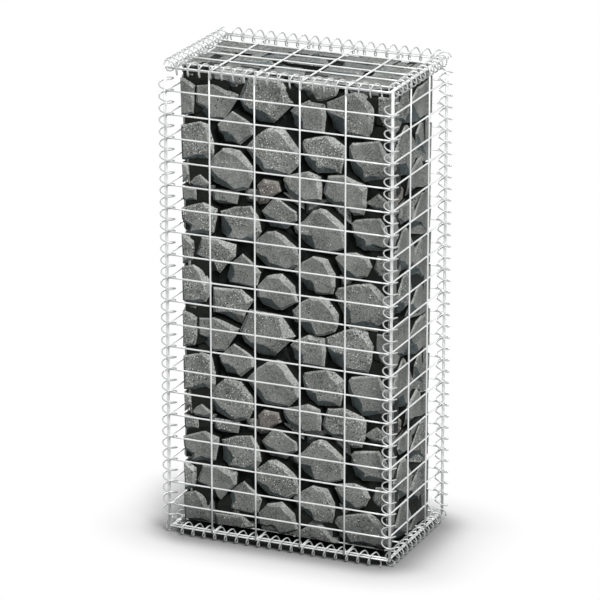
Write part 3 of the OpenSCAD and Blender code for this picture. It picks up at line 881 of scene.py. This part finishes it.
pack_wall(FRONT, (SIDE_FRONT, SIDE_BACK), 0, -HALF_D, FACE_Y, 0.085, (0.29, 0.22))
pack_wall(RIGHT, (SIDE_RIGHT, SIDE_LEFT), 1, HALF_W, FACE_X, 0.06, (0.0, 0.22), 1.05)
pack_lid(LID)
# The stones behind are darkened nearly to black: painted shade in the gaps.
fill_behind((SIDE_FRONT, SIDE_BACK), 6, 12, 0.95, 0.036)
fill_behind((SIDE_RIGHT, SIDE_LEFT), 3, 12, 1.0, 0.026)
fill_behind((SIDE_TOP, SIDE_FOOT), 8, 4, 1.0, 0.020)

# Width of the wear on a stone's edges, and the least turn between facets that wears.
WEAR, WORN_TURN = 0.0011, math.radians(18)

for name in LIFTS:
    facets = {key: np.concatenate(values[name]) for key, values in heap.facets.items()}
    label = "stones_of_" + name.removeprefix("stone_")
    stones = piece(label, heap.parts[name], STONE_FINISH, [name], False, facets)
    edge = stones.modifiers.new("worn_edges", "BEVEL")
    edge.width, edge.segments, edge.limit_method, edge.angle_limit = WEAR, 2, "ANGLE", WORN_TURN


# Floor and light

# Greys of the floor: its own, which takes the basket's shadow, then a painted shadow close beside the basket
# and painted shade under it.
SHADED_FLOOR = (0.59, 0.59, 0.59)
PAINTED_SHADOW_BESIDE = (0.28, 0.28, 0.28)
PAINTED_SHADE_UNDER = (0.022, 0.022, 0.022)
# How far in from the basket's outline its corners start to round off on the floor.
ROUND = 0.05
WHITE = (1, 1, 1, 1)
# The middle of the wall's height, at which the lamps aim.
AIM = Vector((0, 0, 0.5))


def seen_directly(p):
    """One for rays of the camera and for those that metal or glass passes on, else nought."""
    path = p.node("ShaderNodeLightPath")
    through = Value(p, path["Is Transmission Ray"])
    return Value(p, path["Is Camera Ray"]) + Value(p, path["Is Glossy Ray"]) + through


def floor_paint():
    """Painted shade, nearly black, where the basket shuts the floor in; beside it a painted shadow that fades
    within 10 cm into the floor's own grey, which also takes the real shadow; and white from 21 cm off. The
    distance away is that to the basket's outline with rounded corners, counted 1.3 times across the depth.
    Light that bounces off the floor finds it less than half as pale."""
    p = Paint("pale_floor")
    beyond_x = p.larger(abs(p.along(0)) - (HALF_W - ROUND), 0.0)
    beyond_y = p.larger(1.3 * (abs(p.along(1)) - HALF_D) + ROUND, 0.0)
    away = (beyond_x * beyond_x + beyond_y * beyond_y) ** 0.5 - ROUND
    # Painted shadow beside the basket, and painted shade under it.
    pale = p.mix(p.between(away, 0.10, 0.0), SHADED_FLOOR, PAINTED_SHADOW_BESIDE)
    pale = p.mix(p.between(away, 0.010, -0.014), pale, PAINTED_SHADE_UNDER)
    seen = seen_directly(p)
    colour = p.mix(seen, p.scaled(pale, 0.44), pale)
    shaded = p.node("ShaderNodeBsdfDiffuse", None, {"Color": colour})[0]
    white = p.node("ShaderNodeEmission", None, {"Color": WHITE, "Strength": 1.0})[0]
    whitened = p.between(away, 0.0, 0.21) * seen
    surface = p.node("ShaderNodeMixShader", None, {0: whitened, 1: shaded, 2: white})[0]
    p.node("ShaderNodeOutputMaterial", None, {"Surface": surface})
    return p.material


def floor():
    """A level floor, 30 m each way from the wall: squares between 13 lines both ways."""
    lines = 13
    across = np.linspace(-30, 30, lines)
    x, y = np.meshgrid(across, across)
    points = np.column_stack([x.ravel(), y.ravel(), np.zeros(x.size)])
    corner = np.arange(lines * lines).reshape(lines, lines)[:-1, :-1].ravel()
    squares = np.stack([corner, corner + 1, corner + lines + 1, corner + lines], -1)
    mesh = bpy.data.meshes.new("floor")
    mesh.from_pydata(points.tolist(), [], squares.tolist())
    mesh.materials.append(floor_paint())
    made = bpy.data.objects.new("floor", mesh)
    bpy.context.scene.collection.objects.link(made)


def lamp(name, at, power):
    """A round soft lamp, 3 m wide, aimed at the middle of the wall."""
    data = bpy.data.lights.new(name, "AREA")
    data.shape, data.size, data.energy = "DISK", 3.0, power
    made = bpy.data.objects.new(name, data)
    made.location = at
    made.rotation_mode = "QUATERNION"
    made.rotation_quaternion = (AIM - Vector(at)).to_track_quat("-Z", "Y")
    bpy.context.scene.collection.objects.link(made)


def studio():
    """Even pale surroundings: a low plain level on the object, white where the camera or metal sees them."""
    world = bpy.data.worlds.new("studio")
    world.use_nodes = True
    bpy.context.scene.world = world
    p = Paint(world)
    level = 0.4 + 0.6 * seen_directly(p)
    sky = p.node("ShaderNodeBackground", None, {"Color": WHITE, "Strength": level})[0]
    p.node("ShaderNodeOutputWorld", None, {"Surface": sky})


floor()
lamp("key", (3.3, -3.7, 5.2), 555)
lamp("fill", (-3.9, 4.7, 1.9), 280)
studio()
bpy.context.scene.view_settings.view_transform = "Standard"
